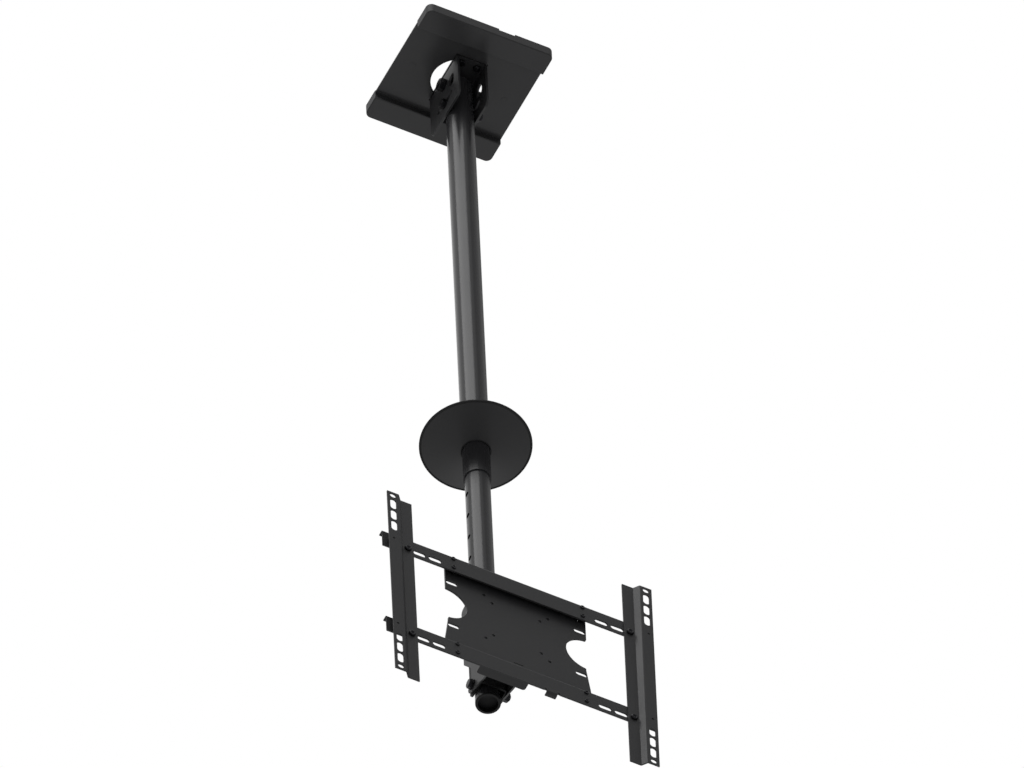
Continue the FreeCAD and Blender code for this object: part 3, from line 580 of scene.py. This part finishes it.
def head_welds(material):
    """Beads where the two ears meet the base, and where they meet the shelf."""
    low = box_mm("tilt_bracket")[0]
    ear_in = box_mm("pole_clamp")[1][0] + EAR_SIDE_GAP
    ear_out = ear_in + EAR_THICK
    base_y = low[1] + BRACKET_THICK
    shelf_z = low[2] + BRACKET_THICK
    shelf_back = low[1] + SHELF_DEPTH
    beads = []
    for side in (-1, 1):
        for x in (ear_in, ear_out):
            name = "ear_weld_%d" % len(beads)
            beads.append(straight_bead(name, (side * x, base_y, shelf_z + WELD_START),
                                       (side * x, base_y, low[2] + BASE_HEIGHT - WELD_START),
                                       (1, 0, 0), (0, 1, 0)))
        name = "shelf_weld_%d" % side
        beads.append(straight_bead(name, (side * ear_out, base_y + WELD_START, shelf_z),
                                   (side * ear_out, shelf_back - WELD_START, shelf_z),
                                   (1, 0, 0), (0, 0, 1)))
    give(joined("head_welds", beads), "head", material)


# Threads

def thread(name, size, start, length):
    """Threaded end of a bolt along X: radius = crest less depth times a triangle wave.

    The wave's phase is the way along the bolt in pitches less the turn, which makes the helix.
    The thread runs out at its free end, and both ends are closed.
    """
    pitch = THREAD_PITCH[size]
    depth = THREAD_DEPTH * pitch
    steps = max(int(length / pitch * THREAD_STEPS), THREAD_STEPS)
    along = np.linspace(0, length, steps)[:, None]
    turn = np.linspace(0, 2 * np.pi, THREAD_TURN, endpoint=False)[None, :]
    phase = (along / pitch - turn / (2 * np.pi)) % 1.0
    crest = size / 2 + THREAD_PROUD
    radius = crest - depth * np.abs(2 * phase - 1)
    lead = np.clip((length - along) / pitch, 0, 1)
    radius = np.minimum(radius, crest - depth * (1 - lead))
    closed = np.ones((steps, 1))
    closed[0] = 0
    closed[-1] = 0
    radius = radius * closed
    grid = np.stack([start[0] + along + 0 * turn, start[1] + radius * np.cos(turn),
                     start[2] + radius * np.sin(turn)], axis=-1)
    return mesh_of_grid(name, grid * MM)


def bolt_threads(material):
    """A thread on the free end of each cross bolt, past its nut."""
    for body, node, size in (("ceiling", "ceiling_pivot", 10.0), ("upper_pole", "slope_lock", 8.0),
                             ("lower_pole", "tilt_pivot", 8.0), ("lower_pole", "tilt_lock", 8.0)):
        low, high = box_mm(node + "_bolt")
        middle = (low + high) / 2
        start = (high[0] - THREAD_END, middle[1], middle[2])
        piece = thread(node + "_thread", size, start, THREAD_END)
        give(piece, body, material)


# Trim disc

def crisp(profile):
    """Profile with a point close to both ends of each side, so that shading turns only at its corners."""
    following = np.roll(profile, -1, axis=0)
    along = following - profile
    step = along / np.linalg.norm(along, axis=1)[:, None] * CRISP
    return np.stack([profile, profile + step, following - step], axis=1).reshape(-1, 2)


def disc_middle():
    """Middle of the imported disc, from which the three round pieces below are measured."""
    low, high = box_mm("trim_disc")
    return (low + high) / 2


def dished_disc(material):
    """Trim disc pressed as a shallow cone: its hole hangs DISC_DISH below its rim."""
    low, high = box_mm("trim_disc")
    half = (high[2] - low[2]) / 2
    outer = half_wide("trim_disc")
    inner = half_wide("upper_tube") + RING_SLIDE + RING_WALL
    edge = outer - DISC_EDGE
    fall = DISC_DISH * DISC_EDGE / (outer - inner)
    profile = np.array([[inner, half - DISC_DISH], [edge, half - fall], [edge, -half - fall],
                        [inner, -half - DISC_DISH]])
    piece = turned("dished_trim_disc", crisp(profile), disc_middle())
    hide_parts("trim_disc")
    give(piece, "trim", material)


def disc_edging(material):
    """Soft strip pressed round the disc's rim: a flat band with rounded outer corners."""
    outer = half_wide("trim_disc")
    inner = outer - DISC_EDGE + RING_JOINT
    half = DISC_EDGE_TALL / 2
    corner = half * DISC_EDGE_ROUND
    turn = np.linspace(-np.pi / 2, 0, RIM_ARC)
    lower = np.stack([outer - corner + corner * np.cos(turn), corner - half + corner * np.sin(turn)], axis=1)
    upper = (lower * [1, -1])[::-1]
    profile = np.vstack([[[inner, -half]], lower, upper, [[inner, half]]])
    profile[:, 1] -= DISC_EDGE_DROP
    piece = turned("disc_edging", profile[::-1], disc_middle())
    give(piece, "trim", material)


def soft_ring(material):
    """Ring that grips the pole inside the disc's hole: a plain band with a rounded inner foot."""
    inner = half_wide("upper_tube") + RING_SLIDE
    outer = inner + RING_WALL - RING_JOINT
    foot = -DISC_DISH - RING_TALL / 2
    turn = np.linspace(np.pi / 2, 0, CROWN_ARC)
    rounded = np.stack([inner + RING_ROUND - RING_ROUND * np.sin(turn),
                        foot + RING_ROUND - RING_ROUND * np.cos(turn)], axis=1)
    profile = np.vstack([rounded, [[outer, foot], [outer, foot + RING_TALL], [inner, foot + RING_TALL]]])
    piece = turned("soft_grommet", profile[::-1], disc_middle())
    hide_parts("trim_grommet")
    give(piece, "trim", material)


# Materials

def linear(code):
    """Linear colour of an sRGB hex value, by the sRGB curve."""
    parts = [int(code[i:i + 2], 16) / 255 for i in (1, 3, 5)]
    return [part / 12.92 if part <= 0.04045 else ((part + 0.055) / 1.055) ** 2.4 for part in parts] + [1.0]


def add(tree, kind, settings=None, links=None):
    """A node with its settings, and its inputs linked from other nodes' outputs."""
    node = tree.nodes.new(kind)
    for name, value in (settings or {}).items():
        if isinstance(name, int) or name in node.inputs:
            node.inputs[name].default_value = value
        else:
            setattr(node, name, value)
    for name, source in (links or {}).items():
        tree.links.new(source, node.inputs[name])
    return node


def bare_material(name):
    """Material with an empty tree."""
    material = bpy.data.materials.new(name)
    material.use_nodes = True
    material.node_tree.nodes.clear()
    return material, material.node_tree


def per_metre(size):
    """Scale of a pattern whose features are a size in millimetres."""
    return 1.0 / (size * MM)


def finish(name, dark, light, roughness, specular, metallic, grain, depth, patch):
    """Surface whose tone and gloss drift in patches, over a fine raised grain.

    The grain and the patches are sizes in millimetres, and so is the grain's depth. The gloss
    drifts a little round the roughness.
    """
    material, tree = bare_material(name)
    place = add(tree, "ShaderNodeTexCoord").outputs["Object"]
    drift = add(tree, "ShaderNodeTexNoise", {"Scale": per_metre(patch), "Detail": DRIFT_DETAIL},
                {"Vector": place})
    fine = add(tree, "ShaderNodeTexNoise", {"Scale": per_metre(grain), "Detail": GRAIN_DETAIL},
               {"Vector": place})
    tone = add(tree, "ShaderNodeMix", {"data_type": "RGBA"}, {0: drift.outputs[0]})
    tone.inputs[6].default_value = linear(dark)
    tone.inputs[7].default_value = linear(light)
    gloss = add(tree, "ShaderNodeMapRange", {3: roughness - GLOSS_DRIFT, 4: roughness + GLOSS_DRIFT},
                {0: drift.outputs[0]})
    bump = add(tree, "ShaderNodeBump", {"Strength": GRAIN_STRENGTH, "Distance": depth * MM},
               {"Height": fine.outputs[0]})
    shader = add(tree, "ShaderNodeBsdfPrincipled",
                 {"Metallic": metallic, "Specular IOR Level": specular},
                 {"Base Color": tone.outputs[2], "Roughness": gloss.outputs[0], "Normal": bump.outputs[0]})
    add(tree, "ShaderNodeOutputMaterial", None, {"Surface": shader.outputs[0]})
    return material


def powder_coat():
    """Folded steel sheet in matt black polyester powder: dead flat, with a faint orange peel."""
    return finish("matt_black_powder_coat", "#262627", "#2b2b2c", roughness=0.42, specular=0.19, metallic=0.0,
                  grain=2.5, depth=0.02, patch=45.0)


def tube_coat():
    """Drawn steel tube in satin black powder: smoother than the sheet, so that it takes a long
    highlight."""
    return finish("satin_black_tube_coat", "#242425", "#28282a", roughness=0.22, specular=0.2, metallic=0.0,
                  grain=3.0, depth=0.008, patch=60.0)


def shaded_clamp_coat():
    """Saddle in black paint, darkened as painted shade for the shadow it hangs in below the shelf."""
    return finish("painted_shade_black_coat", "#121213", "#161617", roughness=0.5, specular=0.1, metallic=0.0,
                  grain=1.5, depth=0.01, patch=20.0)


def black_zinc():
    """Steel fasteners, zinc plated and passivated black: a dark metal with a soft sheen."""
    return finish("black_passivated_zinc", "#1c1c1e", "#28282a", roughness=0.4, specular=0.5, metallic=1.0,
                  grain=1.0, depth=0.01, patch=6.0)


def moulded_abs():
    """Cover of injection moulded ABS with a fine spark-eroded grain: a neutral grey-black."""
    return finish("fine_grain_black_abs", "#29292a", "#2d2d2e", roughness=0.5, specular=0.2, metallic=0.0,
                  grain=1.2, depth=0.03, patch=70.0)


def moulded_plug():
    """Plug and rail ends of black polyethylene, darker and waxier than the cover."""
    return finish("black_polyethylene", "#0d0d0e", "#111112", roughness=0.55, specular=0.15, metallic=0.0,
                  grain=1.5, depth=0.02, patch=15.0)


def rubber():
    """Ring and rim strip of black EPDM rubber: no gloss, and a dry, slightly dusty tone."""
    return finish("black_epdm_rubber", "#141415", "#1a1a1b", roughness=0.85, specular=0.3, metallic=0.0,
                  grain=0.8, depth=0.03, patch=12.0)


def dress_solids():
    """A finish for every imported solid. Gives back those that the new pieces share."""
    steel = powder_coat()
    tube = tube_coat()
    # The pole clamp's coat is darkened as painted shade.
    painted_shade = shaded_clamp_coat()
    zinc = black_zinc()
    cover = moulded_abs()
    plug = moulded_plug()
    soft = rubber()
    special = {
        "upper_tube": tube, "lower_tube": tube, "pole_clamp": painted_shade, "ceiling_cover": cover,
        "tube_end_plug": plug, "rail_caps": plug, "trim_grommet": soft,
    }
    fasteners = ("_bolt", "_bolts", "_nut", "_nuts", "_screws", "_washers", "_spacers")
    for name, node in NODES.items():
        material = special.get(name, zinc if name.endswith(fasteners) else steel)
        if not node.material_slots:
            node.data.materials.append(material)
        for place in node.material_slots:
            place.material = material
    return steel, zinc, cover, plug, soft


# Studio

def ray_mix(tree, plain, shown, rays):
    """Shader that shows one thing to the named kinds of ray and another to the rest."""
    light_path = add(tree, "ShaderNodeLightPath")
    factor = light_path.outputs[rays[0]]
    for ray in rays[1:]:
        factor = add(tree, "ShaderNodeMath", {"operation": "MAXIMUM"},
                     {0: factor, 1: light_path.outputs[ray]}).outputs[0]
    return add(tree, "ShaderNodeMixShader", None, {0: factor, 1: plain, 2: shown}).outputs[0]


def world():
    """Even grey light for the object, with a white background for camera, gloss and glass."""
    studio = bpy.data.worlds.new("studio")
    bpy.context.scene.world = studio
    studio.use_nodes = True
    tree = studio.node_tree
    tree.nodes.clear()
    grey = add(tree, "ShaderNodeBackground", {"Color": (1, 1, 1, 1), "Strength": WORLD_DIFFUSE})
    white = add(tree, "ShaderNodeBackground", {"Color": (1, 1, 1, 1), "Strength": 1.0})
    mixed = ray_mix(tree, grey.outputs[0], white.outputs[0],
                    ("Is Camera Ray", "Is Glossy Ray", "Is Transmission Ray"))
    add(tree, "ShaderNodeOutputWorld", None, {"Surface": mixed})


def floor():
    """Pale matt floor at room height below the ceiling. The camera sees it nearly white, shadow kept."""
    half = FLOOR_SIZE / 2
    side = np.linspace(-half, half, FLOOR_STEPS)
    across, along = np.meshgrid(side, side, indexing="ij")
    grid = np.stack([across, along, np.full_like(across, FLOOR_Z)], axis=-1)
    piece = mesh_of_grid("floor", grid, close_columns=False)
    material, tree = bare_material("pale_floor")
    matt = add(tree, "ShaderNodeBsdfDiffuse", {"Color": linear("#e6e6e6")}).outputs[0]
    white = add(tree, "ShaderNodeEmission", {"Strength": 1.0}).outputs[0]
    half_white = add(tree, "ShaderNodeMixShader", {0: FLOOR_WHITE}, {1: matt, 2: white}).outputs[0]
    mixed = ray_mix(tree, matt, half_white, ("Is Camera Ray", "Is Glossy Ray", "Is Transmission Ray"))
    add(tree, "ShaderNodeOutputMaterial", None, {"Surface": mixed})
    piece.data.materials.append(material)


def grey_card(name, start, end, tone):
    """Curved grey card from one azimuth to another, seen by the gloss alone, which it tones down."""
    turn = np.radians(np.linspace(start, end, CARD_STEPS[0]))[:, None]
    height = np.linspace(FLOOR_Z, CARD_TOP, CARD_STEPS[1])[None, :]
    grid = np.stack([CARD_DISTANCE * np.cos(turn) + 0 * height, CARD_DISTANCE * np.sin(turn) + 0 * height,
                     height + 0 * turn], axis=-1)
    piece = mesh_of_grid(name, grid, close_columns=False)
    material, tree = bare_material(name)
    glow = add(tree, "ShaderNodeEmission", {"Strength": tone})
    add(tree, "ShaderNodeOutputMaterial", None, {"Surface": glow.outputs[0]})
    piece.data.materials.append(material)
    piece.visible_camera = False
    piece.visible_diffuse = False
    piece.visible_shadow = False


def panel(name, place, aim, size, power):
    """Soft rectangular lamp at a place, facing a point."""
    lamp = bpy.data.lights.new(name, "AREA")
    lamp.shape = "RECTANGLE"
    lamp.size, lamp.size_y = size
    lamp.energy = power
    holder = bpy.data.objects.new(name, lamp)
    holder.location = place
    holder.rotation_euler = (aim - place).to_track_quat("-Z", "Y").to_euler()
    holder.visible_camera = False
    bpy.context.scene.collection.objects.link(holder)


def lamps():
    """Large key panel high on the left, and a small one low behind, which throws the pole's shadow
    forward on the disc and the cover."""
    turn = math.radians(KEY_AZIMUTH)
    lift = math.radians(KEY_ELEVATION)
    towards = Vector((math.cos(lift) * math.cos(turn), math.cos(lift) * math.sin(turn), math.sin(lift)))
    aim = VIEW_CENTRE
    power = KEY_RADIANCE * math.pi * KEY_SIZE[0] * KEY_SIZE[1]
    panel("key_panel", aim + towards * KEY_DISTANCE, aim, KEY_SIZE, power)
    panel("back_panel", BACK_PLACE, aim, (BACK_SIZE, BACK_SIZE), BACK_POWER)


def camera():
    """Parallel view from below, as in the photograph."""
    look = LOOK.normalized()
    level = look.cross(Vector((0, 0, 1))).normalized()
    rise = level.cross(look)
    right = level * math.cos(VIEW_ROLL) - rise * math.sin(VIEW_ROLL)
    up = level * math.sin(VIEW_ROLL) + rise * math.cos(VIEW_ROLL)
    data = bpy.data.cameras.new("camera")
    data.type = "ORTHO"
    data.ortho_scale = PHOTO_WIDTH / PIXELS_PER_MM * MM
    data.clip_end = VIEW_END
    holder = bpy.data.objects.new("camera", data)
    turn = Matrix((right, up, -look)).transposed().to_4x4()
    holder.matrix_world = Matrix.Translation(VIEW_CENTRE - look * VIEW_BACK) @ turn
    bpy.context.scene.collection.objects.link(holder)
    bpy.context.scene.camera = holder


def main():
    steel, zinc, cover, plug, soft = dress_solids()
    slotted_plate(steel)
    slotted_rails(steel)
    rail_ends(plug)
    open_arms(steel)
    rail_screws(zinc)
    arm_screw_sets(zinc)
    pattern_inserts(zinc)
    wide_cover(cover)
    screw_caps(cover)
    collar_weld(steel)
    head_welds(steel)
    bolt_threads(zinc)
    dished_disc(steel)
    disc_edging(soft)
    soft_ring(soft)
    world()
    floor()
    for card in CARDS:
        grey_card(*card)
    lamps()
    camera()
    bpy.context.scene.view_settings.view_transform = "Standard"


main()
